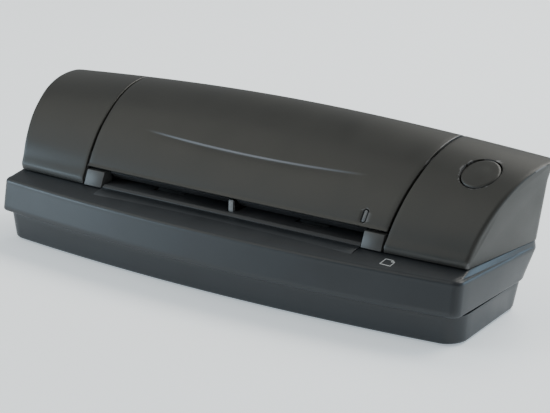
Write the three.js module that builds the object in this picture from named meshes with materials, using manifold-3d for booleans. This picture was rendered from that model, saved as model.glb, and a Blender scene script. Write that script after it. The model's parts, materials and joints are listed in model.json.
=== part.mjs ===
// Sheet fed document scanner for small paper: a low base with a bowed front rim, two side covers and a
// lid that opens on a rear hinge. Millimetres, +Z up, the feed slot faces -Y, origin on the table.
import * as THREE from 'three';
import { mergeVertices } from 'three/addons/utils/BufferGeometryUtils.js';
import Module from 'manifold-3d';

const wasm = await Module();
wasm.setup();

// Driving dimensions
const RIM_HALF_WIDTH = 95;
const RIM_REAR_HALF_WIDTH = 94.2;
const RIM_REAR_FOOT = 90.8;
const RIM_FRONT_Y = -30.4;
const RIM_BOW = 6.6;
const RIM_BOTTOM_Z = 10.3;
const RIM_TOP_Z = 21.7;
const DECK_Z = 23.3;
const REAR_Y = 24.6;
const SKIRT_HALF_WIDTH = 93.3;
const SKIRT_REAR_HALF_WIDTH = 89;
const FLOOR_Z = 0.4;
const WALL = 2;
const GAP = 0.3;
const COVER_HALF_WIDTH = 93;
const COVER_BOTTOM_Z = 23.6;
const REAR_BEVEL = 3;
const SEAM_X = 62.35;
const SEAM_GAP = 0.8;
const LIP_Z = 29.3;
const HINGE_Y = 19.4;
const HINGE_Z = 44;
const CURL_RADIUS = 4.8;
const FEED_Z = 20.2;
const FEED_RADIUS = 5;
const FRONT_FEED_Y = -8;
const REAR_FEED_Y = 15;
const PINCH_RADIUS = 3;
const PINCH_Z = 28.45;
const SHAFT_RADIUS = 1.5;
const BED_TOP_Z = 24.8;
const FRAME_X = 68.5;
const GEAR_MODULE = 0.5;
const GEAR_X = -73;
const JACK_X = 81;
const JACK_Z = 15.1;
const CENTRE_Y = 3.9;
const BUTTON_RADIUS = 6.4;
const BUTTON = { x: 84.2, y: 3.2, z: 47.85, slope: 26.5 };

// Outer surface of the covers and the lid on the centre plane, front to back, as (y, z)
const COVER_PROFILE = [
  [-19.9, 23.0], [-19.1, 25.3], [-17.1, 28.2], [-14.7, 32.0], [-12.4, 35.1], [-7.9, 40.3],
  [-2.7, 44.9], [3.4, 49.4], [10, 52.9], [14.8, 54.5], [18.5, 55.0], [21, 54.8],
  [23.1, 53.6], [24.1, 51.6], [24.2, 49],
];

const PLASTIC = { color: 0x2c2c2b, roughness: 0.62, metalness: 0 };
const BASE_PLASTIC = { color: 0x292b2e, roughness: 0.66, metalness: 0 };
const INNER_PLASTIC = { color: 0x17181a, roughness: 0.7, metalness: 0 };
const RUBBER = { color: 0x101010, roughness: 0.9, metalness: 0 };
const STEEL = { color: 0xb8bcc0, roughness: 0.3, metalness: 1 };
const ACETAL = { color: 0xd9d6cc, roughness: 0.5, metalness: 0 };
const GLASS = { color: 0x3a4a50, roughness: 0.08, metalness: 0 };
const BOARD = { color: 0x14532c, roughness: 0.5, metalness: 0 };
const SCANNER_BODY = { color: 0x222426, roughness: 0.6, metalness: 0 };

const group = new THREE.Group();

function toSolid(geometry) {
  const plain = geometry.clone();
  plain.deleteAttribute('normal');
  plain.deleteAttribute('uv');
  const merged = mergeVertices(plain, 1e-5);
  return new wasm.Manifold(new wasm.Mesh({
    numProp: 3,
    vertProperties: new Float32Array(merged.attributes.position.array),
    triVerts: new Uint32Array(merged.index.array),
  }));
}

function toGeometry(solid) {
  const mesh = solid.getMesh();
  const geometry = new THREE.BufferGeometry();
  geometry.setAttribute('position', new THREE.BufferAttribute(new Float32Array(mesh.vertProperties), 3));
  geometry.setIndex(new THREE.BufferAttribute(new Uint32Array(mesh.triVerts), 1));
  geometry.computeVertexNormals();
  return geometry;
}

function node(name, solid, look) {
  const mesh = new THREE.Mesh(toGeometry(solid), new THREE.MeshStandardMaterial(look));
  mesh.name = name;
  mesh.position.y = CENTRE_Y;
  group.add(mesh);
  return mesh;
}

// A closed solid through rings of equal length; plan gives each ring's flat outline for the end caps
function loft(rings, flat) {
  const count = rings[0].length;
  const triangles = [];
  rings.slice(1).forEach((ring, k) => {
    for (let i = 0; i < count; i += 1) {
      const j = (i + 1) % count;
      const a = k * count;
      triangles.push(a + i, a + j, a + count + j, a + i, a + count + j, a + count + i);
    }
  });
  const last = (rings.length - 1) * count;
  const cap = (ring, start, turned) => {
    const outline = ring.map(flat);
    THREE.ShapeUtils.triangulateShape(outline, []).forEach(([p, q, r]) => {
      triangles.push(...(turned ? [start + r, start + q, start + p] : [start + p, start + q, start + r]));
    });
  };
  const turned = THREE.ShapeUtils.area(rings[0].map(flat)) > 0;
  cap(rings[0], 0, turned);
  cap(rings[rings.length - 1], last, !turned);
  const geometry = new THREE.BufferGeometry();
  geometry.setAttribute('position', new THREE.Float32BufferAttribute(rings.flat(2), 3));
  geometry.setIndex(triangles);
  const inward = signedVolume(rings.flat(), triangles) < 0;
  geometry.setIndex(inward ? triangles.reverse() : triangles);
  return toSolid(geometry);
}

function signedVolume(points, triangles) {
  let sum = 0;
  for (let i = 0; i < triangles.length; i += 3) {
    const [a, b, c] = [0, 1, 2].map((k) => points[triangles[i + k]]);
    sum += a[0] * (b[1] * c[2] - b[2] * c[1]) + a[1] * (b[2] * c[0] - b[0] * c[2]);
    sum += a[2] * (b[0] * c[1] - b[1] * c[0]);
  }
  return sum / 6;
}

function box(x0, x1, y0, y1, z0, z1) {
  const geometry = new THREE.BoxGeometry(x1 - x0, y1 - y0, z1 - z0);
  geometry.translate((x0 + x1) / 2, (y0 + y1) / 2, (z0 + z1) / 2);
  return toSolid(geometry);
}

function cylinderX(radius, x0, x1, y, z, sides = 28) {
  const geometry = new THREE.CylinderGeometry(radius, radius, x1 - x0, sides);
  geometry.rotateZ(Math.PI / 2);
  geometry.translate((x0 + x1) / 2, y, z);
  return toSolid(geometry);
}

function cylinderZ(radius, x, y, z0, z1, sides = 20) {
  const geometry = new THREE.CylinderGeometry(radius, radius, z1 - z0, sides);
  geometry.rotateX(Math.PI / 2);
  geometry.translate(x, y, (z0 + z1) / 2);
  return toSolid(geometry);
}

// A flat outline in (y, z) swept straight along X
function sweepX(outline, x0, x1) {
  return loft([x0, x1].map((x) => outline.map(([y, z]) => [x, y, z])), (p) => new THREE.Vector2(p[1], p[2]));
}

function smoothCurve(points, steps) {
  const curve = new THREE.CatmullRomCurve3(points.map(([y, z]) => new THREE.Vector3(0, y, z)), false, 'centripetal');
  return curve.getPoints(steps).map((p) => [p.y, p.z]);
}

function inset(points, distance) {
  return points.map(([y, z], i) => {
    const [y0, z0] = points[Math.max(0, i - 1)];
    const [y1, z1] = points[Math.min(points.length - 1, i + 1)];
    const length = Math.hypot(y1 - y0, z1 - z0);
    return [y + (distance * (z1 - z0)) / length, z - (distance * (y1 - y0)) / length];
  });
}

// Where a point of the centre section goes at width x: the ends lean out, and flare a little low down at the rear,
// the top is crowned and the front is bowed
function shaped(x, y, z) {
  const rise = Math.max(0, z - 23);
  const lean = 7 * ((x * Math.abs(x)) / COVER_HALF_WIDTH ** 2) * (rise / 28.5) ** 1.3;
  const frontShare = Math.min(1, Math.max(0, (10 - y) / 25));
  const rearShare = Math.min(1, Math.max(0, (y + 12) / 22));
  const flare = 1.2 * ((x * Math.abs(x)) / COVER_HALF_WIDTH ** 2) * rearShare * Math.exp(-((rise / 14) ** 2));
  const bow = 2.4 * (x / COVER_HALF_WIDTH) ** 2 * Math.exp(-rise / 10) * frontShare;
  const crown = 4.4 * (x / COVER_HALF_WIDTH) ** 2 * (rise / 32) ** 5;
  return [x + lean + flare, y + bow, z - crown];
}

function stations(x0, x1, count) {
  return Array.from({ length: count + 1 }, (_, i) => x0 + ((x1 - x0) * i) / count);
}

function bodySolid(xs, outlineAt) {
  const rings = xs.map((x) => outlineAt(x).map(([y, z]) => shaped(x, y, z)));
  return loft(rings, (p) => new THREE.Vector2(p[1], p[2]));
}

const PROFILE = smoothCurve([...COVER_PROFILE, [24.2, 46], [24.2, 44]], 30);

function coverOutline(depth, bottom) {
  const curve = inset(PROFILE, depth).filter((_, i) => PROFILE[i][1] > COVER_BOTTOM_Z + 1);
  return [[curve[0][0] - 0.1 * (depth ? 0 : 1), bottom], ...curve, [REAR_Y - 0.4 - depth, bottom]];
}

// Plan outline of the base: bowed front, slightly narrower rear, rounded corners
function planRing(halfFront, halfRear, frontY, bow, rearY, frontRadius, rearRadius, z) {
  const right = [];
  const frontHalf = halfFront - frontRadius;
  stations(0, frontHalf, 8).forEach((x) => right.push([x, frontY + bow * (x / halfFront) ** 2]));
  const cornerY = frontY + bow + frontRadius;
  stations(1, 4, 3).forEach((k) => {
    const angle = (k / 4) * (Math.PI / 2);
    const x = frontHalf + frontRadius * Math.sin(angle);
    right.push([x, cornerY - frontRadius * Math.cos(angle) - bow * (1 - (Math.min(x, frontHalf) / halfFront) ** 2) * Math.cos(angle)]);
  });
  stations(0, 5, 5).forEach((k) => {
    const angle = (k / 5) * (Math.PI / 2);
    const x = halfRear - rearRadius + rearRadius * Math.cos(angle);
    right.push([x, rearY - rearRadius + rearRadius * Math.sin(angle)]);
  });
  const left = right.slice(1).reverse().map(([x, y]) => [-x, y]);
  return [...right, ...left].map(([x, y]) => [x, y, z]);
}

function planSolid(levels) {
  return loft(levels.map((level) => planRing(...level)), (p) => new THREE.Vector2(p[0], p[1]));
}

const CORNERS = [[-76, -14], [76, -14], [-74, 12], [74, 12]];
const SCREWS = [[-60, -20], [60, -20], [-60, 17], [60, 17]];

function makeBottomCover() {
  const outer = planSolid([
    [SKIRT_HALF_WIDTH - 0.9, SKIRT_REAR_HALF_WIDTH - 0.8, -28.4, 5.6, 22.5, 6, 9.5, FLOOR_Z],
    [SKIRT_HALF_WIDTH, SKIRT_REAR_HALF_WIDTH, -29.2, 5.8, 23.2, 6, 9.5, FLOOR_Z + 1.2],
    [SKIRT_HALF_WIDTH + 1, SKIRT_REAR_HALF_WIDTH + 1.5, -30, 6.2, 24.2, 6, 9.5, 9.9],
  ]);
  const inner = planSolid([
    [SKIRT_HALF_WIDTH - 2, SKIRT_REAR_HALF_WIDTH - 2, -27.2, 5.6, 21.2, 5, 8, FLOOR_Z + WALL],
    [SKIRT_HALF_WIDTH - 0.8, SKIRT_REAR_HALF_WIDTH - 0.2, -28, 6.2, 22.2, 5, 7.5, 12],
  ]);
  let tray = outer.subtract(inner);
  CORNERS.forEach(([x, y]) => {
    tray = tray.subtract(cylinderZ(5.3, x, y, 0, FLOOR_Z + 1.2));
  });
  SCREWS.forEach(([x, y]) => {
    tray = tray.subtract(cylinderZ(1.6, x, y, 0, 5)).subtract(cylinderZ(2.7, x, y, 0, FLOOR_Z + 1.1));
  });
  node('bottom_cover', tray, BASE_PLASTIC);
}

function makeLowerHousing() {
  const rear = RIM_REAR_HALF_WIDTH;
  const outer = planSolid([
    [RIM_HALF_WIDTH - 0.8, RIM_REAR_FOOT, RIM_FRONT_Y - 1.2, RIM_BOW, REAR_Y - 0.3, 3, 9.5, RIM_BOTTOM_Z],
    [RIM_HALF_WIDTH, RIM_REAR_FOOT + 0.9, RIM_FRONT_Y - 2, RIM_BOW, REAR_Y, 3.2, 9.5, RIM_BOTTOM_Z + 1],
    [RIM_HALF_WIDTH, rear, RIM_FRONT_Y - 0.2, RIM_BOW, REAR_Y, 3.2, 5.7, RIM_TOP_Z - 1.2],
    [RIM_HALF_WIDTH - 0.4, rear, RIM_FRONT_Y + 0.3, RIM_BOW, REAR_Y - 0.1, 3.2, 5.5, RIM_TOP_Z - 0.4],
    [RIM_HALF_WIDTH - 1.2, rear - 0.1, RIM_FRONT_Y + 1.1, RIM_BOW, REAR_Y - 0.2, 3.2, 5.4, RIM_TOP_Z],
    [COVER_HALF_WIDTH, rear - 0.3, -19.9, 2.4, REAR_Y - 0.4, 2.6, 5.2, DECK_Z],
  ]);
  const inner = planSolid([
    [RIM_HALF_WIDTH - 2.4, RIM_REAR_FOOT - 2.3, RIM_FRONT_Y + 0.6, RIM_BOW, REAR_Y - 2.2, 3, 7.5, 9],
    [RIM_HALF_WIDTH - 2.4, rear - 2.2, RIM_FRONT_Y + 2.2, RIM_BOW, REAR_Y - 2.2, 3, 4, RIM_TOP_Z - 2],
    [RIM_HALF_WIDTH - 4.5, rear - 3.7, -19.5, 2.6, REAR_Y - 2.6, 3, 4, DECK_Z - 2],
  ]);
  let body = outer.subtract(inner);
  body = body.subtract(box(-89, 89, -14.9, 21.9, DECK_Z - 3, DECK_Z + 1));
  body = body.subtract(box(-5, 5, -17.4, -12, DECK_Z - 3, DECK_Z + 1));
  SCREWS.forEach(([x, y]) => {
    const top = y < 0 ? DECK_Z - 1.5 : 14;
    const post = cylinderZ(3, x, y, 3.2, top).subtract(cylinderZ(1.4, x, y, 3, 9));
    const bridge = y < 0 ? null : box(x - 1.2, x + 1.2, y, REAR_Y - 1, 11, 14);
    body = body.add(post);
    body = bridge ? body.add(bridge) : body;
  });
  body = body.subtract(box(69.6, 77.4, 20, 26, 12.1, 16.5));
  body = body.subtract(cylinderY(3, JACK_X, 20, 26, JACK_Z));
  node('lower_housing', body, BASE_PLASTIC);
}

function cylinderY(radius, x, y0, y1, z, sides = 28) {
  const geometry = new THREE.CylinderGeometry(radius, radius, y1 - y0, sides);
  geometry.translate(x, (y0 + y1) / 2, z);
  return toSolid(geometry);
}

// Turns a round piece's axis to the button's, which leans forward, and lifts it along that axis
function buttonFrame(geometry, height) {
  geometry.rotateX(Math.PI / 2);
  geometry.translate(0, 0, height);
  geometry.rotateX(THREE.MathUtils.degToRad(BUTTON.slope));
  geometry.translate(BUTTON.x, BUTTON.y, BUTTON.z);
  return toSolid(geometry);
}

// The covers' outer section, a little smaller at the outer end and cut back most at the rear edge
function endOutline(last) {
  const outline = coverOutline(last ? 0.8 : 0, COVER_BOTTOM_Z);
  const rearLimit = REAR_Y - 0.4 - (last ? REAR_BEVEL : 0);
  return outline.map(([y, z]) => [Math.min(y, rearLimit), z]);
}

function makeCovers() {
  [-1, 1].forEach((side) => {
    const xs = [...stations(SEAM_X + SEAM_GAP / 2, COVER_HALF_WIDTH - REAR_BEVEL, 5), COVER_HALF_WIDTH];
    const outer = bodySolid(xs.map((x) => side * x), (x) => endOutline(Math.abs(x) > COVER_HALF_WIDTH - 0.5));
    const innerXs = stations(SEAM_X - 3, COVER_HALF_WIDTH - WALL, 4).map((x) => side * x);
    const inner = bodySolid(innerXs, () => coverOutline(WALL, COVER_BOTTOM_Z - 4));
    let cover = outer.subtract(inner);
    if (side > 0) {
      const hole = BUTTON_RADIUS + 0.5;
      cover = cover.subtract(buttonFrame(new THREE.CylinderGeometry(hole, hole, 12, 36), 0));
    }
    node(side < 0 ? 'left_cover' : 'right_cover', cover, PLASTIC);
  });
}

function makeButton() {
  const profile = [[0, -3.2], [BUTTON_RADIUS, -3.2], [BUTTON_RADIUS, -0.3], [BUTTON_RADIUS - 0.3, 0], [0, 0.25]];
  const cap = new THREE.LatheGeometry(profile.map(([r, h]) => new THREE.Vector2(r, h)), 36);
  node('scan_button', buttonFrame(cap, 0), PLASTIC);
  const plunger = new THREE.BoxGeometry(5, 2.4, 5);
  node('button_switch', buttonFrame(plunger, -5.8), INNER_PLASTIC);
  const board = new THREE.BoxGeometry(14, 1.2, 12);
  node('button_board', buttonFrame(board, -7.9), BOARD);
}

function lidOuter() {
  const curl = stations(0, 8, 8).map((k) => {
    const angle = (k / 8) * (Math.PI / 2);
    return [HINGE_Y + CURL_RADIUS * Math.cos(angle), HINGE_Z - CURL_RADIUS * Math.sin(angle)];
  });
  const skin = PROFILE.filter(([y, z]) => z > LIP_Z + 0.4 && !(y > 20 && z < HINGE_Z + 0.5));
  return [[-16.45, LIP_Z], ...skin, ...curl];
}

function lidInner() {
  const skin = inset(PROFILE, WALL).filter(([y, z]) => z > LIP_Z + 0.4 && !(y > 18 && z < HINGE_Z + 0.5));
  const radius = CURL_RADIUS - WALL;
  const curl = stations(0, 5, 5).map((k) => {
    const angle = (k / 5) * (Math.PI / 2);
    return [HINGE_Y + radius * Math.cos(angle), HINGE_Z - radius * Math.sin(angle)];
  });
  return [[-14.9, 20], ...skin, ...curl, [HINGE_Y, 20]];
}

function makeLid() {
  const half = SEAM_X - SEAM_GAP / 2;
  const outer = bodySolid(stations(-half, half, 12), lidOuter);
  const inner = bodySolid(stations(-half + 1.8, half - 1.8, 8), lidInner);
  let lid = outer.subtract(inner);
  const window = new THREE.BoxGeometry(1.9, 8, 4.7);
  window.rotateX(THREE.MathUtils.degToRad(-34.3));
  window.translate(52.6, -14.07, 32.5);
  lid = lid.subtract(toSolid(window));
  [-1, 1].forEach((side) => {
    const [x0, x1] = side < 0 ? [-63.4, -58] : [58, 63.4];
    lid = lid.add(cylinderX(3.4, x0, x1, HINGE_Y, HINGE_Z));
  });
  // The lid's rear edge stops short of the covers, so that it clears them as it turns
  lid = lid.subtract(box(63.4, 70, 13, 30, 36, 49)).subtract(box(-70, -63.4, 13, 30, 36, 49));
  lid = lid.subtract(cylinderX(1, -80, -59, HINGE_Y, HINGE_Z, 24));
  lid = lid.subtract(cylinderX(1, 59, 80, HINGE_Y, HINGE_Z, 24));
  node('lid_shell', lid, PLASTIC);
  const pane = new THREE.BoxGeometry(1.3, 1.7, 4.1);
  pane.translate(0, 0.85, 0);
  pane.rotateX(THREE.MathUtils.degToRad(-34.3));
  pane.translate(52.6, -13.9, 32.39);
  node('indicator_window', toSolid(pane), { color: 0x8d9296, roughness: 0.35, metalness: 0 });
  node('left_hinge_pin', cylinderX(1, -70.2, -59, HINGE_Y, HINGE_Z, 24), STEEL);
  node('right_hinge_pin', cylinderX(1, 59, 70.2, HINGE_Y, HINGE_Z, 24), STEEL);
}

function makeLidLiner() {
  const outline = [[-14.3, 28.3], [-12.2, 26.2], [19.4, 26.2], [19.4, 27.1], [-11.8, 27.1], [-13.6, 28.9]];
  let liner = sweepX(outline, -53.5, 53.5);
  [FRONT_FEED_Y, REAR_FEED_Y].forEach((y) => {
    [-45, 45].forEach((x) => {
      liner = liner.add(box(x - 1.2, x + 1.2, y - 2, y + 2, 26.6, 30.8));
    });
    liner = liner.subtract(cylinderX(1.06, -50, 50, y, PINCH_Z, 24));
    [-30, 30].forEach((x) => {
      liner = liner.subtract(box(x - 6, x + 6, y - 3.4, y + 3.4, 25, 32));
    });
  });
  liner = liner.subtract(box(-1.6, 1.6, -16, -6.5, 25, 30));
  node('lid_liner', liner, INNER_PLASTIC);
}

function roller(radius, bore, x0, x1, y, z) {
  return cylinderX(radius, x0, x1, y, z, 28).subtract(cylinderX(bore, x0 - 1, x1 + 1, y, z, 24));
}

function makeRollers() {
  [['front', FRONT_FEED_Y], ['rear', REAR_FEED_Y]].forEach(([place, y]) => {
    node(`${place}_feed_shaft`, cylinderX(SHAFT_RADIUS, -75, 70.2, y, FEED_Z, 24), STEEL);
    node(`${place}_pinch_shaft`, cylinderX(1, -47, 47, y, PINCH_Z, 24), STEEL);
    [['left', -30], ['right', 30]].forEach(([hand, x]) => {
      node(`${place}_feed_roller_${hand}`, roller(FEED_RADIUS, SHAFT_RADIUS, x - 6, x + 6, y, FEED_Z), RUBBER);
      node(`${place}_pinch_roller_${hand}`, roller(PINCH_RADIUS, 1, x - 5, x + 5, y, PINCH_Z), ACETAL);
    });
  });
}

// Spur gear outline: straight flanked teeth with backlash, first tooth centred on +Y plus phase
function gearOutline(teeth, phase) {
  const pitchRadius = (GEAR_MODULE * teeth) / 2;
  const step = (2 * Math.PI) / teeth;
  const at = (radius, angle) => [radius * Math.cos(angle), radius * Math.sin(angle)];
  return Array.from({ length: teeth }, (_, i) => {
    const centre = phase + i * step;
    return [
      at(pitchRadius - 0.62, centre - step * 0.3),
      at(pitchRadius + 0.42, centre - step * 0.1),
      at(pitchRadius + 0.42, centre + step * 0.1),
      at(pitchRadius - 0.62, centre + step * 0.3),
    ];
  }).flat();
}

function gear(teeth, phase, y, z, bore, width) {
  const outline = gearOutline(teeth, phase).map(([a, b]) => [y + a, z + b]);
  const blank = sweepX(outline, GEAR_X - width / 2, GEAR_X + width / 2);
  return blank.subtract(cylinderX(bore, GEAR_X - width, GEAR_X + width, y, z, 24));
}

function makeDrive() {
  const idlerY = (FRONT_FEED_Y + REAR_FEED_Y) / 2;
  const motorZ = FEED_Z - 9;
  node('front_feed_gear', gear(24, 0, FRONT_FEED_Y, FEED_Z, SHAFT_RADIUS, 3), ACETAL);
  node('rear_feed_gear', gear(24, 0, REAR_FEED_Y, FEED_Z, SHAFT_RADIUS, 3), ACETAL);
  node('idler_gear', gear(22, Math.PI / 22, idlerY, FEED_Z, 1.25, 3), ACETAL);
  node('idler_post', cylinderX(1.2, -75.2, -FRAME_X - 1.05, idlerY, FEED_Z, 24), STEEL);
  node('motor_pinion', gear(12, Math.PI / 12, FRONT_FEED_Y, motorZ, 0.8, 4.2), ACETAL);
  const body = cylinderX(6.6, -84.5, -76.5, FRONT_FEED_Y, motorZ, 40);
  const nose = cylinderX(2.4, -76.7, -75.9, FRONT_FEED_Y, motorZ, 28);
  node('drive_motor', body.add(nose).subtract(cylinderX(0.85, -80, -74, FRONT_FEED_Y, motorZ, 24)), STEEL);
  node('motor_shaft', cylinderX(0.8, -79, -70.6, FRONT_FEED_Y, motorZ, 24), STEEL);
}

function makeSideFrames() {
  const top = inset(PROFILE, WALL + 0.5).filter(([y, z]) => z > 34 && y < 21 && y > -12);
  const crown = shaped(FRAME_X - 3, 0, 55)[2] - 55;
  const rear = [[21.5, 48], [21.5, 10.4], [19.6, 10.4], [19.6, 3.1]];
  const lowered = top.map(([y, z]) => [y, z + crown * ((z - 23) / 32) ** 5]);
  const outline = [[-12.4, 3.1], [-12.4, 24.4], ...lowered, ...rear];
  [-1, 1].forEach((side) => {
    const [x0, x1] = [side * FRAME_X - 1, side * FRAME_X + 1];
    let frame = sweepX(outline, x0, x1);
    [FRONT_FEED_Y, REAR_FEED_Y].forEach((y) => {
      frame = frame.subtract(cylinderX(SHAFT_RADIUS + 0.06, x0 - 1, x1 + 1, y, FEED_Z, 24));
    });
    frame = frame.subtract(cylinderX(1.06, x0 - 1, x1 + 1, HINGE_Y, HINGE_Z, 24));
    node(side < 0 ? 'left_side_frame' : 'right_side_frame', frame, INNER_PLASTIC);
  });
}

function makePaperPath() {
  let bed = box(-53.9, 53.9, -18.2, 21.8, DECK_Z + GAP, BED_TOP_Z);
  const chamfer = [[-19, 24], [-19, 26], [-16, 26], [-18.4, 23.8]];
  bed = bed.subtract(sweepX(chamfer, -60, 60));
  [FRONT_FEED_Y, REAR_FEED_Y].forEach((y) => {
    [-30, 30].forEach((x) => {
      bed = bed.subtract(box(x - 6.5, x + 6.5, y - 4.2, y + 4.2, 22, 26));
    });
  });
  bed = bed.subtract(box(-52.3, 52.3, 0.2, 6.8, 22, 26));
  [-3, 3].forEach((x) => {
    bed = bed.add(box(x - 0.6, x + 0.6, -16.6, -13.6, 19.6, 24));
  });
  bed = bed.subtract(box(-1.5, 1.5, -16.4, -7, 19, 26));
  bed = bed.subtract(cylinderX(0.86, -6, 6, -15.1, 21.2, 24));
  node('paper_bed', bed, INNER_PLASTIC);
  node('scan_sensor', box(-56, 56, -1.8, 8.8, 13.5, DECK_Z), SCANNER_BODY);
  node('scan_glass', box(-52, 52, 0.5, 6.5, DECK_Z + 0.1, BED_TOP_Z - 0.15), GLASS);
  const block = [[-18.55, 23.65], [-16.4, 28.55], [-12.6, 28.55], [-12.6, 23.65]];
  node('left_guide_block', sweepX(block, -62, -54.3), PLASTIC);
  node('right_guide_block', sweepX(block, 54.3, 62), PLASTIC);
}

function makeSheetLever() {
  const arm = sweepX([[-15.7, 20.4], [-15.5, 27.9], [-15.1, 28.4], [-14.6, 27.9], [-14.3, 20.4]], -0.9, 0.9);
  node('sheet_sensor_lever', arm.add(cylinderX(0.8, -3.8, 3.8, -15.1, 21.2, 24)), ACETAL);
}

function makeRearPanel() {
  const half = SEAM_X - SEAM_GAP / 2;
  const section = [[22.2, COVER_BOTTOM_Z], [22.2, 39.6], [24.2, 39.6], [24.2, COVER_BOTTOM_Z]];
  const panel = bodySolid(stations(-half, half, 8), () => section);
  node('rear_panel', panel.subtract(box(-54, 54, 20, 26, 24.9, 30.3)), PLASTIC);
}

function makeElectronics() {
  node('main_circuit_board', box(70, 84, -10, 19.5, 10.2, 11.6), BOARD);
  const usb = box(69.9, 77.1, 14.8, 24.1, 12.4, 16.2).subtract(box(70.8, 76.2, 16.5, 26, 13.3, 15.3));
  node('usb_socket', usb, STEEL);
  const jack = box(78, 84, 12, 20.5, 11.9, 18).add(cylinderY(2.7, JACK_X, 20, 23.2, JACK_Z));
  node('power_socket', jack.subtract(cylinderY(1.8, JACK_X, 16, 26, JACK_Z)), INNER_PLASTIC);
  node('power_socket_pin', cylinderY(0.6, JACK_X, 16.3, 22.6, JACK_Z, 16), STEEL);
}

function makeFeetAndScrews() {
  CORNERS.forEach(([x, y], i) => node(`foot_${i + 1}`, cylinderZ(5, x, y, 0, FLOOR_Z + 0.9), RUBBER));
  SCREWS.forEach(([x, y], i) => {
    const screw = cylinderZ(2.4, x, y, FLOOR_Z + 0.1, FLOOR_Z + 0.9).add(cylinderZ(1.2, x, y, FLOOR_Z + 0.5, 8.4));
    const slot = box(x - 0.25, x + 0.25, y - 1.4, y + 1.4, 0, FLOOR_Z + 0.5);
    node(`case_screw_${i + 1}`, screw.subtract(slot), STEEL);
  });
}

makeBottomCover();
makeLowerHousing();
makeCovers();
makeButton();
makeLid();
makeLidLiner();
makeRollers();
makeDrive();
makeSideFrames();
makePaperPath();
makeSheetLever();
makeRearPanel();
makeElectronics();
makeFeetAndScrews();

export default group;
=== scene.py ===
"""Looks of the sheet fed document scanner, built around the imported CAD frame. Metres, +Z up."""
import json
import math

import bmesh
import bpy
from mathutils import Matrix, Vector


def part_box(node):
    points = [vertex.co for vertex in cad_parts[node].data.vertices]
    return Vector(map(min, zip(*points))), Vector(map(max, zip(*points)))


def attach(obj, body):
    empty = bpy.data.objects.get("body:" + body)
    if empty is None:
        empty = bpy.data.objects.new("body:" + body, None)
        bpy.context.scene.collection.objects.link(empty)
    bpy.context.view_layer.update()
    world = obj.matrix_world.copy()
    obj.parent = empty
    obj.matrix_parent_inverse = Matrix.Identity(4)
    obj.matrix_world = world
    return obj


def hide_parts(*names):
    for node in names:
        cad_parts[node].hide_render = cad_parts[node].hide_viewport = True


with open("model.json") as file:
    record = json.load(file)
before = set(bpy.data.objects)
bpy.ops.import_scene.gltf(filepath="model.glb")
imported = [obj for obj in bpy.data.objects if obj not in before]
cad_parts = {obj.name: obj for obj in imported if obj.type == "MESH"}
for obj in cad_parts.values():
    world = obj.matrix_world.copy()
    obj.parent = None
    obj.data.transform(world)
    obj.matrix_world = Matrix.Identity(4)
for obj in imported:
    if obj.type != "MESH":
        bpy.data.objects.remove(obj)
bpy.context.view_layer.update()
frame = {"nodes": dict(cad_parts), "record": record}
nodes = frame["nodes"]

MM = 0.001
TOP_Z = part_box("lid_shell")[1].z
# The sections are drawn with the housing's rear face at REAR_Y. This moves them into the frame.
REAR_Y = 24.6
CENTRE_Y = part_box("lower_housing")[1].y / MM - REAR_Y

# Section of the covers and the lid on the centre plane, in mm, front to back
COVER_PROFILE = [
    (-19.9, 23.0), (-19.1, 25.3), (-17.1, 28.2), (-14.7, 32.0), (-12.4, 35.1), (-7.9, 40.3),
    (-2.7, 44.9), (3.4, 49.4), (10, 52.9), (14.8, 54.5), (18.5, 55.0), (21, 54.8),
    (23.1, 53.6), (24.1, 51.6), (24.2, 49), (24.2, 46), (24.2, 44),
]
COVER_HALF = 93.0
COVER_BOTTOM = 23.6
COVER_FRONT = -19.9
COVER_BOW = 2.4
COVER_REAR = REAR_Y - 0.4
SHAPE_BASE_Z = 23
END_LEAN = 7
LEAN_RISE = 28.5
LEAN_POWER = 1.3
TOP_CROWN = 4.4
CROWN_RISE = 32
CROWN_POWER = 5
REAR_FLARE = 1.2
SEAM_ROUND = 0.35
SEAM_X = 62.35
SEAM_GAP = 0.8
WALL = 2.0
FRONT_EDGE = 1.3
REAR_EDGE = 5.0
LIP_Z = 29.3
CREASE_X = 1.0
CREASE_Z = 42.0
CREASE_STEP = 0.6
CREASE_REACH = 44.0
CREASE_RISE = 1.1
CREASE_RISE_X = 43
# Height of the crease's painted highlight band below its line, in steps.
CREASE_HIGHLIGHT_SPAN = 1.4
HINGE = (19.4, 44.0)
CURL = 4.8
RIM_HALF = 95.0
RIM_REAR_HALF = 94.2
RIM_REAR_FOOT = 91.7
RIM_FRONT = -30.4
RIM_BOW = 6.6
RIM_BOTTOM = 10.3
RIM_TOP = 21.7
DECK_Z = 23.3
BUTTON = dict(x=84.2, y=3.2, z=47.85, slope=26.5, radius=6.4)


# ---------------------------------------------------------------- shape helpers

def lerp_points(a, b, t):
    return tuple(p + (q - p) * t for p, q in zip(a, b))


def spread(start, end, count):
    return [start + (end - start) * i / count for i in range(count + 1)]


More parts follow.
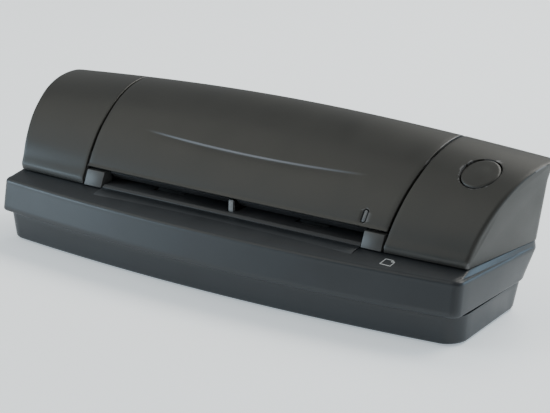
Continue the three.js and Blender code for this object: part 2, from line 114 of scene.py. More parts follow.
def smooth_curve(points, step):
    """Centripetal Catmull-Rom through points, sampled about every step mm."""
    pts = [Vector(p) for p in points]
    pts = [pts[0] * 2 - pts[1]] + pts + [pts[-1] * 2 - pts[-2]]
    out = []
    for i in range(1, len(pts) - 2):
        p0, p1, p2, p3 = pts[i - 1:i + 3]
        t0 = 0.0
        t1 = t0 + (p1 - p0).length ** 0.5
        t2 = t1 + (p2 - p1).length ** 0.5
        t3 = t2 + (p3 - p2).length ** 0.5
        count = max(2, round((p2 - p1).length / step))
        for k in range(count):
            t = t1 + (t2 - t1) * k / count
            a1 = p0 * ((t1 - t) / (t1 - t0)) + p1 * ((t - t0) / (t1 - t0))
            a2 = p1 * ((t2 - t) / (t2 - t1)) + p2 * ((t - t1) / (t2 - t1))
            a3 = p2 * ((t3 - t) / (t3 - t2)) + p3 * ((t - t2) / (t3 - t2))
            b1 = a1 * ((t2 - t) / (t2 - t0)) + a2 * ((t - t0) / (t2 - t0))
            b2 = a2 * ((t3 - t) / (t3 - t1)) + a3 * ((t - t1) / (t3 - t1))
            out.append(tuple(b1 * ((t2 - t) / (t2 - t1)) + b2 * ((t - t1) / (t2 - t1))))
    out.append(tuple(points[-1]))
    return out


def inset(points, distance):
    """A section's points moved inward, square to the curve."""
    out = []
    for i, (y, z) in enumerate(points):
        y0, z0 = points[max(0, i - 1)]
        y1, z1 = points[min(len(points) - 1, i + 1)]
        length = math.hypot(y1 - y0, z1 - z0)
        out.append((y + distance * (z1 - z0) / length, z - distance * (y1 - y0) / length))
    return out


def shaped(x, y, z):
    """The ends lean out as they rise and flare low at the rear, the top is crowned, the front is bowed."""
    rise = max(0.0, z - SHAPE_BASE_Z)
    share = x * abs(x) / COVER_HALF ** 2
    lean = END_LEAN * share * (rise / LEAN_RISE) ** LEAN_POWER
    front = min(1.0, max(0.0, (10 - y) / 25))
    bow = COVER_BOW * abs(share) * math.exp(-rise / 10) * front
    rear = min(1.0, max(0.0, (y + 12) / 22))
    flare = REAR_FLARE * share * rear * math.exp(-(rise / 14) ** 2)
    crown = TOP_CROWN * abs(share) * (rise / CROWN_RISE) ** CROWN_POWER
    return x + lean + flare, y + bow, z - crown


def link_object(name, data):
    obj = bpy.data.objects.new(name, data)
    bpy.context.scene.collection.objects.link(obj)
    return obj


def mesh_object(name, points, faces):
    """A mesh from points in mm in the drawing frame, cut off level at the CAD's top."""
    mesh = bpy.data.meshes.new(name)
    mesh.from_pydata([(x * MM, (y + CENTRE_Y) * MM, min(z * MM, TOP_Z)) for x, y, z in points], [], faces)
    mesh.update()
    return link_object(name, mesh)


def loft(name, rings):
    """A closed solid through rings of equal length."""
    count = len(rings[0])
    points = [p for ring in rings for p in ring]
    faces = []
    for k in range(len(rings) - 1):
        for i in range(count):
            j = (i + 1) % count
            a, b = k * count, (k + 1) * count
            faces.append((a + i, a + j, b + j, b + i))
    faces.append(tuple(range(count - 1, -1, -1)))
    last = (len(rings) - 1) * count
    faces.append(tuple(range(last, last + count)))
    obj = mesh_object(name, points, faces)
    bm = bmesh.new()
    bm.from_mesh(obj.data)
    bmesh.ops.recalc_face_normals(bm, faces=bm.faces)
    bm.to_mesh(obj.data)
    bm.free()
    return obj


def body_loft(name, xs, outline_at):
    return loft(name, [[shaped(x, y, z) for y, z in outline_at(x)] for x in xs])


def box_tool(x0, x1, y0, y1, z0, z1):
    corners = [(x, y, z) for x in (x0, x1) for y in (y0, y1) for z in (z0, z1)]
    faces = [(0, 1, 3, 2), (4, 6, 7, 5), (0, 4, 5, 1), (2, 3, 7, 6), (0, 2, 6, 4), (1, 5, 7, 3)]
    return mesh_object("tool", corners, faces)


def ring_points(radius, count):
    angles = [2 * math.pi * i / count for i in range(count)]
    return [(radius * math.cos(angle), radius * math.sin(angle)) for angle in angles]


def cylinder_tool(radius, start, end, axis, count=48):
    """A cylinder along x, y or z; start and end are points on its axis."""
    order = {"x": (0, 1, 2), "y": (1, 2, 0), "z": (2, 0, 1)}[axis]
    rings = []
    for centre in (start, end):
        ring = []
        for a, b in ring_points(radius, count):
            p = [0, 0, 0]
            p[order[0]] = centre[order[0]]
            p[order[1]] = centre[order[1]] + a
            p[order[2]] = centre[order[2]] + b
            ring.append(tuple(p))
        rings.append(ring)
    return loft("tool", rings)


def combine(obj, tools, operation="DIFFERENCE"):
    """Cut the tools from obj, or join them to it, and delete them."""
    for tool in tools:
        mod = obj.modifiers.new("cut", "BOOLEAN")
        mod.operation = operation
        mod.solver = "EXACT"
        mod.object = tool
    depsgraph = bpy.context.evaluated_depsgraph_get()
    mesh = bpy.data.meshes.new_from_object(obj.evaluated_get(depsgraph))
    obj.modifiers.clear()
    old = obj.data
    obj.data = mesh
    bpy.data.meshes.remove(old)
    for tool in tools:
        bpy.data.objects.remove(tool)


def smooth_group():
    """Geometry nodes: smooth faces with sharp edges where the surface turns by more than 32 degrees."""
    tree = bpy.data.node_groups.new("smooth_by_angle", "GeometryNodeTree")
    tree.interface.new_socket("Geometry", in_out="INPUT", socket_type="NodeSocketGeometry")
    tree.interface.new_socket("Geometry", in_out="OUTPUT", socket_type="NodeSocketGeometry")
    start = tree.nodes.new("NodeGroupInput")
    end = tree.nodes.new("NodeGroupOutput")
    faces = tree.nodes.new("GeometryNodeSetShadeSmooth")
    edges = tree.nodes.new("GeometryNodeSetShadeSmooth")
    edges.domain = "EDGE"
    edges.inputs["Shade Smooth"].default_value = False
    angle = tree.nodes.new("GeometryNodeInputMeshEdgeAngle")
    compare = tree.nodes.new("FunctionNodeCompare")
    compare.operation = "GREATER_THAN"
    compare.inputs[1].default_value = math.radians(32)
    tree.links.new(start.outputs[0], faces.inputs["Geometry"])
    tree.links.new(faces.outputs[0], edges.inputs["Geometry"])
    tree.links.new(angle.outputs["Unsigned Angle"], compare.inputs[0])
    tree.links.new(compare.outputs[0], edges.inputs["Selection"])
    tree.links.new(edges.outputs[0], end.inputs[0])
    return tree


SMOOTH = smooth_group()


def finish_edges(obj, width, weld=False):
    """Small rounded edges and smooth shading, as modifiers."""
    if weld:
        mod = obj.modifiers.new("weld", "WELD")
        mod.merge_threshold = 0.002 * MM
    if width:
        mod = obj.modifiers.new("bevel", "BEVEL")
        mod.width = width * MM
        mod.segments = 2
        mod.limit_method = "ANGLE"
        mod.angle_limit = math.radians(38)
        mod.harden_normals = False
    mod = obj.modifiers.new("smooth", "NODES")
    mod.node_group = SMOOTH


# ---------------------------------------------------------------- materials

def new_material(name):
    material = bpy.data.materials.new(name)
    material.use_nodes = True
    tree = material.node_tree
    shader = next(n for n in tree.nodes if n.type == "BSDF_PRINCIPLED")
    return material, tree, shader


def noise(tree, vector, scale, detail=4, rough=0.55):
    node = tree.nodes.new("ShaderNodeTexNoise")
    node.inputs["Scale"].default_value = scale
    node.inputs["Detail"].default_value = detail
    node.inputs["Roughness"].default_value = rough
    tree.links.new(vector, node.inputs["Vector"])
    return node.outputs["Fac"]


def remap(tree, value, low, high, from_low=0.3, from_high=0.7):
    node = tree.nodes.new("ShaderNodeMapRange")
    node.inputs["From Min"].default_value = from_low
    node.inputs["From Max"].default_value = from_high
    node.inputs["To Min"].default_value = low
    node.inputs["To Max"].default_value = high
    tree.links.new(value, node.inputs["Value"])
    return node.outputs["Result"]


def mix_colour(tree, factor, first, second):
    node = tree.nodes.new("ShaderNodeMix")
    node.data_type = "RGBA"
    node.inputs["A"].default_value = (*first, 1)
    node.inputs["B"].default_value = (*second, 1)
    tree.links.new(factor, node.inputs["Factor"])
    return node.outputs["Result"]


def lighten(tree, factor, under, colour):
    """The colour under, turned towards a plain colour by a factor."""
    node = tree.nodes.new("ShaderNodeMix")
    node.data_type = "RGBA"
    node.inputs["B"].default_value = (*colour, 1)
    tree.links.new(factor, node.inputs["Factor"])
    tree.links.new(under, node.inputs["A"])
    return node.outputs["Result"]


def surface(name, colour, roughness, grain=2600.0, depth=0.00002, strength=0.5, metallic=0.0,
            spread_colour=0.12, edge_wear_and_highlight=None, stretch=(1, 1, 1), rough_spread=0.06, crease_highlight=None):
    """Plastic, rubber or metal with fine grain, slow colour and roughness changes, convex edges lightened as
    part edge wear and part painted highlight, and optionally a painted highlight where the crease attribute
    is set.
    """
    material, tree, shader = new_material(name)
    coordinates = tree.nodes.new("ShaderNodeTexCoord")
    mapping = tree.nodes.new("ShaderNodeMapping")
    mapping.inputs["Scale"].default_value = stretch
    tree.links.new(coordinates.outputs["Object"], mapping.inputs["Vector"])
    place = mapping.outputs["Vector"]
    slow = noise(tree, place, 45, 3)
    fine = noise(tree, place, grain, 3, 0.6)
    dark = tuple(c * (1 - spread_colour) for c in colour)
    light = tuple(c * (1 + spread_colour) for c in colour)
    mixed = mix_colour(tree, remap(tree, slow, 0, 1), dark, light)
    speck = tree.nodes.new("ShaderNodeMix")
    speck.data_type = "RGBA"
    speck.blend_type = "MULTIPLY"
    speck.inputs["Factor"].default_value = 0.35
    tree.links.new(mixed, speck.inputs["A"])
    tint = mix_colour(tree, remap(tree, fine, 0, 1), (0.72, 0.72, 0.72), (1.25, 1.25, 1.25))
    tree.links.new(tint, speck.inputs["B"])
    colour_out = speck.outputs["Result"]
    # Convex edges lightened by pointiness: partly edge wear, partly a painted highlight where edges would
    # catch the light.
    if edge_wear_and_highlight:
        geometry = tree.nodes.new("ShaderNodeNewGeometry")
        edge = remap(tree, geometry.outputs["Pointiness"], 0, 1, 0.53, 0.62)
        scaled = tree.nodes.new("ShaderNodeMath")
        scaled.operation = "MULTIPLY"
        tree.links.new(edge, scaled.inputs[0])
        tree.links.new(remap(tree, slow, 0.25, 0.8), scaled.inputs[1])
        colour_out = lighten(tree, scaled.outputs[0], colour_out, edge_wear_and_highlight)
    # Painted highlight: the crease attribute turns the colour lighter where the crease's step edge would
    # catch the light.
    if crease_highlight:
        attribute = tree.nodes.new("ShaderNodeAttribute")
        attribute.attribute_name = "crease"
        colour_out = lighten(tree, attribute.outputs["Fac"], colour_out, crease_highlight)
    tree.links.new(colour_out, shader.inputs["Base Color"])
    rough = remap(tree, slow, roughness - rough_spread, roughness + rough_spread)
    tree.links.new(rough, shader.inputs["Roughness"])
    shader.inputs["Metallic"].default_value = metallic
    bump = tree.nodes.new("ShaderNodeBump")
    bump.inputs["Strength"].default_value = strength
    bump.inputs["Distance"].default_value = depth
    tree.links.new(fine, bump.inputs["Height"])
    tree.links.new(bump.outputs["Normal"], shader.inputs["Normal"])
    return material


def glass_material():
    material = surface("scan_glass", (0.05, 0.07, 0.08), 0.08, grain=900, depth=0.000002, strength=0.1,
                       rough_spread=0.03)
    shader = next(n for n in material.node_tree.nodes if n.type == "BSDF_PRINCIPLED")
    shader.inputs["Coat Weight"].default_value = 0.6
    return material


# The edge colours given below lighten convex edges: partly wear, partly painted highlight.
COVER_LOOK = dict(colour=(0.0195, 0.0190, 0.0155), roughness=0.44, edge_wear_and_highlight=(0.20, 0.20, 0.205))
MATERIALS = {
    "cover_plastic": surface("cover_plastic", **COVER_LOOK),
    "base_plastic": surface("base_plastic", (0.0120, 0.0148, 0.0178), 0.40, edge_wear_and_highlight=(0.13, 0.14, 0.15)),
    "inner_plastic": surface("inner_plastic", (0.020, 0.021, 0.023), 0.55, grain=1800,
                             edge_wear_and_highlight=(0.05, 0.05, 0.053)),
    "rubber": surface("rubber", (0.012, 0.012, 0.012), 0.85, grain=3500, depth=0.00004, strength=0.8),
    "steel": surface("steel", (0.55, 0.56, 0.58), 0.28, grain=1500, depth=0.000004, strength=0.3,
                     metallic=1.0, stretch=(0.05, 1, 1)),
    "acetal": surface("acetal", (0.70, 0.68, 0.61), 0.42, grain=1400, depth=0.000008, strength=0.3,
                      spread_colour=0.05),
    "scan_glass": glass_material(),
    "light_pipe": surface("light_pipe", (0.11, 0.115, 0.12), 0.3, grain=1500, depth=0.000005, strength=0.2),
    "circuit_board": surface("circuit_board", (0.012, 0.10, 0.035), 0.38, grain=700, depth=0.00001,
                             strength=0.4),
}
# The lid's plastic carries a painted highlight colour along its crease.
LID_PLASTIC = surface("lid_plastic", crease_highlight=(0.18, 0.18, 0.195), **COVER_LOOK)
MARK = surface("deck_mark", (0.42, 0.43, 0.43), 0.5, spread_colour=0.08)
# Its edge colour is partly wear, partly painted highlight.
LEVER = surface("lever_plastic", (0.09, 0.094, 0.098), 0.45, grain=2000, spread_colour=0.08,
                edge_wear_and_highlight=(0.5, 0.5, 0.5))


def dress(obj, slot, material=None):
    obj.data.materials.clear()
    obj.data.materials.append(material or MATERIALS[slot])


def piece(obj, name, body, slot, stands_for, width, material=None):
    """Name and dress a visual piece, tie it to its body and hide the CAD nodes that it stands for."""
    obj.name = name
    obj.data.name = name
    dress(obj, slot, material)
    finish_edges(obj, width)
    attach(obj, body)
    if stands_for:
        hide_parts(*stands_for)


# ---------------------------------------------------------------- base

def plan_ring(half_front, half_rear, front_y, bow, rear_y, front_radius, rear_radius, z):
    """The base's outline seen from above: a bowed front, straight sides and a rear with round corners."""
    right = []
    front_half = half_front - front_radius
    for x in spread(0, front_half, 36):
        right.append((x, front_y + bow * (x / half_front) ** 2))
    corner_y = front_y + bow + front_radius
    for k in range(1, 10):
        angle = k / 10 * math.pi / 2
        x = front_half + front_radius * math.sin(angle)
        start = bow * (1 - (front_half / half_front) ** 2)
        right.append((x, corner_y - front_radius * math.cos(angle) - start * math.cos(angle)))
    for y in spread(corner_y, rear_y - rear_radius, 10):
        t = (y - corner_y) / (rear_y - rear_radius - corner_y)
        right.append((half_front + (half_rear - half_front) * t, y))
    for k in range(1, 13):
        angle = k / 12 * math.pi / 2
        x = half_rear - rear_radius + rear_radius * math.cos(angle)
        right.append((x, rear_y - rear_radius + rear_radius * math.sin(angle)))
    left = [(-x, y) for x, y in reversed(right[1:])]
    return [(x, y, z) for x, y in right + left]


def plan_loft(name, levels):
    return loft(name, [plan_ring(*level) for level in levels])


def eased_levels(first, second, count):
    return [lerp_points(first, second, k / count) for k in range(1, count)]


def rim_level(inward, forward, z):
    """The rim's outline at height z, moved inward and forward. Its rear corners tighten upward."""
    t = min(1.0, max(0.0, (z - RIM_BOTTOM - 1) / (RIM_TOP - RIM_BOTTOM - 2.2)))
    rear_half = RIM_REAR_FOOT + (RIM_REAR_HALF - RIM_REAR_FOOT) * t
    rear_inward = inward * (1 - 0.85 * t)
    return (RIM_HALF - inward, rear_half - rear_inward, RIM_FRONT - forward + inward, RIM_BOW,
            REAR_Y - rear_inward, 2.9 - 0.5 * inward, 9.5 - 3.8 * t - 0.3 * inward, z)


def build_housing():
    low, top = 0.9, 1.5
    levels = []
    for k in range(0, 5):
        angle = k / 4 * math.pi / 2
        levels.append(rim_level(low * (1 - math.sin(angle)), 2.0, RIM_BOTTOM + low * (1 - math.cos(angle))))
    for t in (0.15, 0.3, 0.45, 0.6, 0.75, 0.9):
        levels.append(rim_level(0, 2.0 - 1.7 * t, RIM_BOTTOM + low + (RIM_TOP - top - RIM_BOTTOM - low) * t))
    for k in range(0, 7):
        angle = k / 6 * math.radians(76)
        levels.append(rim_level(top * (1 - math.cos(angle)), 0.3, RIM_TOP - top + top * math.sin(angle)))
    cover_line = (COVER_HALF, RIM_REAR_HALF - 0.3, COVER_FRONT, COVER_BOW, COVER_REAR, 2.6, 5.2, DECK_Z)
    levels += eased_levels(levels[-1], cover_line, 5)
    levels.append(cover_line)
    housing = plan_loft("housing", levels)
    inner = plan_loft("tool", [
        (RIM_HALF - 2.4, RIM_REAR_FOOT - 3.2, RIM_FRONT + 0.6, RIM_BOW, REAR_Y - 2.2, 3, 7.5, 9),
        (RIM_HALF - 2.4, RIM_REAR_HALF - 2.2, RIM_FRONT + 2.2, RIM_BOW, REAR_Y - 2.2, 3, 4, RIM_TOP - 2),
        (RIM_HALF - 4.5, RIM_REAR_HALF - 3.7, -19.5, 2.6, REAR_Y - 2.6, 3, 4, DECK_Z - 2),
    ])
    tools = [
        inner,
        box_tool(-89, 89, -14.9, 21.9, DECK_Z - 3, DECK_Z + 1),
        box_tool(-5, 5, -17.4, -14, DECK_Z - 3, DECK_Z + 1),
        box_tool(69.6, 77.4, 20, 26, 12.1, 16.5),
        cylinder_tool(3.0, (81, 20, 15.1), (81, 26, 15.1), "y"),
    ]
    combine(housing, tools)
    piece(housing, "housing_rim_and_deck", "chassis", "base_plastic", ["lower_housing"], 0.2)


def recess_at(box, radius, bottom, top):
    """A round upright recess on the centre of a CAD node's box."""
    low_corner, high_corner = box
    centre = (low_corner + high_corner) / (2 * MM)
    y = centre.y - CENTRE_Y
    return cylinder_tool(radius, (centre.x, y, bottom), (centre.x, y, top), "z")


def build_skirt():
    levels = []
    low = 1.2
    for k in range(0, 6):
        angle = k / 5 * math.pi / 2
        out = low * (1 - math.sin(angle))
        z = 0.4 + low * (1 - math.cos(angle))
        levels.append((93.3 - out, 89 - out, -29.2 + out, 5.8, 23.2 - out, 6, 9.5, z))
    top = (94.3, 90.5, -30, 6.2, 24.2, 6, 9.5, 9.9)
    levels += eased_levels(levels[-1], top, 5)
    levels.append(top)
    skirt = plan_loft("skirt", levels)
    inner = plan_loft("tool", [
        (91.3, 87, -27.2, 5.6, 21.2, 5, 8, 2.4),
        (92.5, 88.8, -28, 6.2, 22.2, 5, 7.5, 12),
    ])
    tools = [inner]
    for i in range(1, 5):
        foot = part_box(f"foot_{i}")
        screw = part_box(f"case_screw_{i}")
        tools.append(recess_at(foot, 5.3, 0, 1.6))
        tools.append(recess_at(screw, 2.7, 0, 1.5))
        tools.append(recess_at(screw, 1.6, 1.3, 5))
    combine(skirt, tools)
    piece(skirt, "bottom_skirt", "chassis", "base_plastic", ["bottom_cover"], 0.2)


# ---------------------------------------------------------------- covers, lid and rear panel

PROFILE = smooth_curve(COVER_PROFILE, 0.8)


def cover_outline(depth, bottom):
    """A side cover's closed section, drawn in by depth. At the wall's depth it has no front step."""
    curve = [p for p, base in zip(inset(PROFILE, depth), PROFILE) if base[1] > COVER_BOTTOM + 1]
    front_step = 0.0 if depth > 1.9 else 0.1
    return [(curve[0][0] - front_step, bottom)] + curve + [(COVER_REAR - depth, bottom)]


def rounding(x, end, radius):
    """How far a round edge of this radius has drawn in at x, for an end face at end."""
    into = min(radius, max(0.0, x - (end - radius)))
    return radius - math.sqrt(max(0.0, radius ** 2 - into ** 2))


def cover_section(x):
    """The section at x: drawn in near the seam and the outer end, most of all at the rear edge."""
    inner = SEAM_X + SEAM_GAP / 2
    depth = max(rounding(-x, -inner, SEAM_ROUND), rounding(x, COVER_HALF, FRONT_EDGE))
    rear_limit = COVER_REAR - max(depth, rounding(x, COVER_HALF, REAR_EDGE))
    return [(min(y, rear_limit), z) for y, z in cover_outline(depth, COVER_BOTTOM)]


def cover_stations():
    inner = SEAM_X + SEAM_GAP / 2
    out = [inner + SEAM_ROUND * (1 - math.cos(k / 4 * math.pi / 2)) for k in range(4)]
    out += spread(inner + SEAM_ROUND, COVER_HALF - REAR_EDGE, 24)
    out += [COVER_HALF - REAR_EDGE + REAR_EDGE * math.sin(k / 10 * math.pi / 2) for k in range(1, 11)]
    return out


def button_matrix():
    turn = Matrix.Rotation(math.radians(BUTTON["slope"]), 4, "X")
    return Matrix.Translation((BUTTON["x"] * MM, (BUTTON["y"] + CENTRE_Y) * MM, BUTTON["z"] * MM)) @ turn


def turned(name, profile, count=96):
    """A solid of revolution in the button's frame. profile is (radius, height) in mm, axis to axis."""
    rings = [[(a, b, h) for a, b in ring_points(r, count)] for r, h in profile[1:-1]]
    points = [p for ring in rings for p in ring]
    faces = []
    for k in range(len(rings) - 1):
        for i in range(count):
            j = (i + 1) % count
            faces.append((k * count + i, k * count + j, (k + 1) * count + j, (k + 1) * count + i))
    points += [(0, 0, profile[0][1]), (0, 0, profile[-1][1])]
    last = (len(rings) - 1) * count
    for i in range(count):
        j = (i + 1) % count
        faces.append((len(points) - 2, j, i))
        faces.append((len(points) - 1, last + i, last + j))
    mesh = bpy.data.meshes.new(name)
    mesh.from_pydata([(x * MM, y * MM, z * MM) for x, y, z in points], [], faces)
    mesh.transform(button_matrix())
    mesh.update()
    return link_object(name, mesh)


def build_covers():
    for side, hand in ((-1, "left"), (1, "right")):
        sections = [[shaped(side * x, y, z) for y, z in cover_section(x)] for x in cover_stations()]
        outer = loft("cover", sections)
        inner_x = [side * x for x in spread(SEAM_X - 3, COVER_HALF - WALL, 12)]
        tools = [body_loft("tool", inner_x, lambda _: cover_outline(WALL, COVER_BOTTOM - 4))]
        if side > 0:
            r = BUTTON["radius"] + 0.5
            tools.append(turned("tool", [(0, -8), (r, -8), (r, 8), (0, 8)]))
        combine(outer, tools)
        piece(outer, f"{hand}_cover_shell", "chassis", "cover_plastic", [f"{hand}_cover"], 0.22)


def build_button():
    r = BUTTON["radius"]
    profile = [
        (0, -3.2), (r, -3.2), (r, -0.55), (r - 0.12, -0.3), (r - 0.4, -0.12), (r - 0.9, -0.05),
        (r - 2.2, -0.08), (r - 4, 0.06), (1.2, 0.16), (0, 0.18),
    ]
    button = turned("button", profile)
    piece(button, "scan_button_cap", "button", "cover_plastic", ["scan_button"], 0)


def crease_line(x):
    """Height of the crease on the centre section, for a section at x."""
    return CREASE_Z + CREASE_RISE * (min(abs(x - CREASE_X), CREASE_REACH) / CREASE_RISE_X) ** 2


def crease_fade(x, power):
    """1 at the crease's middle, falling to 0 at its ends."""
    return (1 - ((x - CREASE_X) / CREASE_REACH) ** 2) ** power


def crease_depth(x, below):
    """The long fine crease: a small step inward just below its line, which fades at both ends."""
    if abs(x - CREASE_X) >= CREASE_REACH or below <= 0:
        return 0.0
    t = min(1.0, below / CREASE_STEP)
    recover = math.exp(-max(0.0, below - CREASE_STEP) / 2.8)
    return CREASE_STEP * crease_fade(x, 0.5) * t * t * (3 - 2 * t) * recover


def front_y(z):
    """How far forward the front of the profile stands at height z."""
    for a, b in zip(PROFILE, PROFILE[1:]):
        if a[1] <= z <= b[1]:
            return a[0] + (b[0] - a[0]) * (z - a[1]) / (b[1] - a[1])
    return PROFILE[0][0]


def curl_points(radius, count):
    """The quarter turn round the hinge at the lid's rear edge."""
    angles = [k / count * math.pi / 2 for k in range(count + 1)]
    return [(HINGE[0] + radius * math.cos(angle), HINGE[1] - radius * math.sin(angle)) for angle in angles]


def lid_outline(x, depth):
    """The lid's outer section: the front lip, the skin with rows along the crease, and the hinge's curl."""
    skin = [p for p in PROFILE if p[1] > LIP_Z + 0.6 and not (p[0] > 20 and p[1] < HINGE[1] + 0.5)]
    low = [p for p in skin if p[1] < 39.3]
    high = [p for p in skin if p[1] > 43.8]
    line = crease_line(x)
    step_rows = [CREASE_STEP * (k / 8 - 1) for k in range(9)]
    offsets = [-2.6, -2.2, -1.8, -1.4, -1.1, -0.9] + step_rows + [0.3, 0.6]
    rows = [(front_y(line + offset), line + offset) for offset in offsets]
    points = low + rows + high
    points = inset(points, depth) if depth else points
    carved = []
    for y, z in points:
        cut = crease_depth(x, line - z) if y < 0 else 0.0
        carved.append((y + 0.68 * cut, z - 0.73 * cut))
    lip = [(-15.8, LIP_Z), (-16.1, LIP_Z + 0.05), (-16.33, LIP_Z + 0.2), (-16.42, LIP_Z + 0.42)]
    return lip + carved + curl_points(CURL, 14)


def lid_inner(_):
    """The lid's hollow, the same at every section."""
    wall = [p for p in inset(PROFILE, WALL) if p[1] > LIP_Z + 0.4]
    skin = [p for p in wall if not (p[0] > 18 and p[1] < HINGE[1] + 0.5)]
    return [(-14.9, 20)] + skin + curl_points(CURL - WALL, 8) + [(HINGE[0], 20)]


def paint_crease_highlight(lid):
    """Give each point its share of the painted highlight along the crease's step, a lighter colour painted
    where that edge would catch the light.
    """
    shares = lid.data.attributes.new("crease", "FLOAT", "POINT")
    for i, vertex in enumerate(lid.data.vertices):
        x, y, z = vertex.co / MM
        rise = max(0.0, z - SHAPE_BASE_Z)
        flat_x = x / (1 + END_LEAN * abs(x) / COVER_HALF ** 2 * (rise / LEAN_RISE) ** LEAN_POWER)
        flat_z = z + TOP_CROWN * (flat_x / COVER_HALF) ** 2 * (rise / CROWN_RISE) ** CROWN_POWER
        into = (crease_line(flat_x) - flat_z) / (CREASE_HIGHLIGHT_SPAN * CREASE_STEP)
        if y - CENTRE_Y < 8 and abs(flat_x - CREASE_X) < CREASE_REACH and 0 < into < 1:
            shares.data[i].value = crease_fade(flat_x, 0.9) * math.sin(math.pi * into)


def build_lid():
    half = SEAM_X - SEAM_GAP / 2
    radius = 0.3
    angles = [k / 3 * math.pi / 2 for k in range(3)]
    stations = [(-half + radius * (1 - math.cos(a)), radius * (1 - math.sin(a))) for a in angles]
    stations += [(x, 0.0) for x in spread(-half + radius, half - radius, 72)]
    stations += [(-x, depth) for x, depth in reversed(stations[:3])]
    lid = loft("lid", [[shaped(x, y, z) for y, z in lid_outline(x, depth)] for x, depth in stations])
    inner = body_loft("tool", spread(-half + 1.8, half - 1.8, 20), lid_inner)
    tools = [
        inner,
        box_tool(63.4, 70, 13, 30, 36, 49),
        box_tool(-70, -63.4, 13, 30, 36, 49),
        slit_tool(1.15, 2.45, 4.0),
    ]
    combine(lid, tools)
    bosses = [cylinder_tool(3.4, (x0, *HINGE), (x1, *HINGE), "x") for x0, x1 in ((-63.35, -58), (58, 63.35))]
    combine(lid, bosses, "UNION")
    pins = [cylinder_tool(1.02, (x0, *HINGE), (x1, *HINGE), "x", 24) for x0, x1 in ((-66, -59), (59, 66))]
    combine(lid, pins)
    paint_crease_highlight(lid)
    piece(lid, "lid_skin", "lid", "cover_plastic", ["lid_shell"], 0.2, material=LID_PLASTIC)


def slit_tool(half_width, half_height, reach):
    """A rounded upright slot through the lid's skin."""
    outline = []
    for k in range(0, 13):
        angle = k / 12 * math.pi
        upright = half_height - half_width + half_width * math.sin(angle)
        outline.append((half_width * math.cos(angle), upright))
    outline += [(-a, -b) for a, b in outline]
    turn = Matrix.Rotation(math.radians(-34.3), 4, "X")
    rings = []
    for y in (-reach, reach):
        ring = []
        for a, b in outline:
            p = turn @ Vector((a, y, b))
            ring.append((p.x + 52.6, p.y - 14.07, p.z + 32.5))
        rings.append(ring)
    return loft("tool", rings)


def build_indicator():
    pane = slit_tool(0.62, 2.02, 0.85)
    pane.data.transform(Matrix.Translation((0, 0.86 * MM, -0.58 * MM)))
    piece(pane, "indicator_pane", "lid", "light_pipe", ["indicator_window"], 0.12)


def build_rear_panel():
    half = SEAM_X - SEAM_GAP / 2
    section = [(22.2, COVER_BOTTOM), (22.2, 39.6), (24.2, 39.6), (24.2, COVER_BOTTOM)]
    panel = body_loft("panel", spread(-half, half, 24), lambda _: section)
    combine(panel, [box_tool(-54, 54, 20, 26, 24.9, 30.3)])
    piece(panel, "rear_exit_panel", "chassis", "cover_plastic", ["rear_panel"], 0.3)


def build_slot_sill():
    """A gentle ramp on the deck in front of the paper bed."""
    section = [
        (-23.0, DECK_Z - 0.75), (-21.4, DECK_Z - 0.12), (-19.9, DECK_Z + 0.16),
        (-18.35, DECK_Z + 0.45), (-18.35, DECK_Z - 0.6),
    ]
    sill = loft("sill", [[(x, y, z) for y, z in section] for x in spread(-53.9, 53.9, 24)])
    piece(sill, "slot_sill", "chassis", "base_plastic", (), 0.08)


def deck_point(x, y):
    """The deck's surface height between the rim's edge and the cover's front."""
    rim = RIM_FRONT + 0.9 + RIM_BOW * (x / RIM_HALF) ** 2
    cover = COVER_FRONT + COVER_BOW * (x / COVER_HALF) ** 2
    t = (y - rim) / (cover - rim)
    return RIM_TOP - 0.05 + (DECK_Z - RIM_TOP + 0.05) * t


def build_mark():
    """A generic page outline with a turned corner, printed on the deck."""
    cx, cy = 67.7, -22.6
    page = [(-1.9, -1.6), (1.9, -1.6), (1.9, 0.7), (0.8, 1.6), (-1.9, 1.6)]
    width = 0.34
    box_faces = ((3, 2, 1, 0), (4, 5, 6, 7), (0, 1, 5, 4), (1, 2, 6, 5), (2, 3, 7, 6), (3, 0, 4, 7))
    points, faces = [], []

    def bar(a, b):
        direction = Vector((b[0] - a[0], b[1] - a[1])).normalized()
        side = Vector((-direction.y, direction.x)) * width / 2
        corners = [Vector(a) - direction * width / 2 - side, Vector(b) + direction * width / 2 - side,
                   Vector(b) + direction * width / 2 + side, Vector(a) - direction * width / 2 + side]
        base = len(points)
        for lift in (-0.25, 0.035):
            for c in corners:
                x, y = cx + c.x, cy + c.y
                points.append((x, y, deck_point(x, y) + lift))
        faces.extend([tuple(base + i for i in face) for face in box_faces])

    for a, b in zip(page, page[1:] + page[:1]):
        bar(a, b)
    bar((0.8, 1.6), (0.8, 0.7))
    bar((0.8, 0.7), (1.9, 0.7))
    mark = mesh_object("mark", points, faces)
    piece(mark, "deck_mark", "chassis", "base_plastic", (), 0, material=MARK)


# ---------------------------------------------------------------- carried-over nodes

def dress_nodes():
    replaced = {"lower_housing", "bottom_cover", "left_cover", "right_cover", "scan_button", "lid_shell",
                "indicator_window", "rear_panel"}
    slots = {s["node"]: s["material_slot"] for s in frame["record"]["subparts"]}
    for name, obj in nodes.items():
        if name in replaced:
            continue
        obj.data.materials.clear()
        obj.data.materials.append(LEVER if name == "sheet_sensor_lever" else MATERIALS[slots[name]])
        toothed = "gear" in name or "pinion" in name
        finish_edges(obj, 0.05 if toothed else 0.12, weld=True)


# ---------------------------------------------------------------- stage, light and camera

def area_light(name, place, target, size, power, colour):
    data = bpy.data.lights.new(name, "AREA")
    data.shape = "RECTANGLE"
    data.size, data.size_y = size
    data.energy = power
    data.color = colour
    obj = link_object(name, data)
    obj.location = place
    obj.rotation_euler = (Vector(target) - Vector(place)).to_track_quat("-Z", "Y").to_euler()


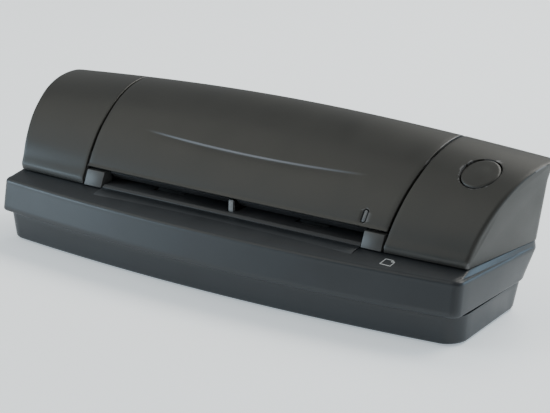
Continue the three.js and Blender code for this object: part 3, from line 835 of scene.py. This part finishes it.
def build_stage():
    mesh = bpy.data.meshes.new("floor")
    side = 6.0
    corners = [(-side, -side, 0), (side, -side, 0), (side, side, 0), (-side, side, 0)]
    mesh.from_pydata(corners, [], [(0, 1, 2, 3)])
    floor = link_object("floor", mesh)
    material, _, shader = new_material("floor")
    shader.inputs["Base Color"].default_value = (0.96, 0.96, 0.96, 1)
    shader.inputs["Roughness"].default_value = 0.9
    shader.inputs["Emission Color"].default_value = (0.80, 0.92, 1.0, 1)
    shader.inputs["Emission Strength"].default_value = 0.45
    mesh.materials.append(material)
    world = bpy.data.worlds.new("studio")
    bpy.context.scene.world = world
    world.use_nodes = True
    background = world.node_tree.nodes["Background"]
    background.inputs["Color"].default_value = (0.92, 0.97, 1.0, 1)
    background.inputs["Strength"].default_value = 0.42
    centre = (0, 0, 0.03)
    area_light("low_left", (-0.80, -0.50, 0.17), centre, (0.42, 0.26), 3.4, (0.64, 0.84, 1.0))
    area_light("upper_left", (-0.52, -0.34, 0.68), centre, (0.75, 0.6), 1.7, (1.0, 0.98, 0.88))
    area_light("right", (0.66, 0.62, 0.22), centre, (0.5, 0.26), 2.6, (0.50, 0.76, 1.0))
    area_light("overhead", (0.16, 0.58, 0.74), centre, (0.9, 0.4), 8, (1.0, 0.985, 0.93))


def build_camera():
    data = bpy.data.cameras.new("camera")
    data.sensor_width = 36
    data.lens = 151.3
    data.clip_start = 0.01
    camera = link_object("camera", data)
    place = Vector((0.4549, -0.5704, 0.2491))
    target = Vector((0.0358, -0.0340, 0.0384))
    back = (place - target).normalized()
    right = Vector((0, 0, 1)).cross(back).normalized()
    up = back.cross(right)
    roll = math.radians(-0.5)
    x_axis = right * math.cos(roll) + up * math.sin(roll)
    y_axis = up * math.cos(roll) - right * math.sin(roll)
    camera.matrix_world = Matrix((
        (x_axis.x, y_axis.x, back.x, place.x),
        (x_axis.y, y_axis.y, back.y, place.y),
        (x_axis.z, y_axis.z, back.z, place.z),
        (0, 0, 0, 1),
    ))
    bpy.context.scene.camera = camera


build_camera()
build_stage()
build_housing()
build_skirt()
build_covers()
build_button()
build_lid()
build_indicator()
build_rear_panel()
build_slot_sill()
build_mark()
dress_nodes()
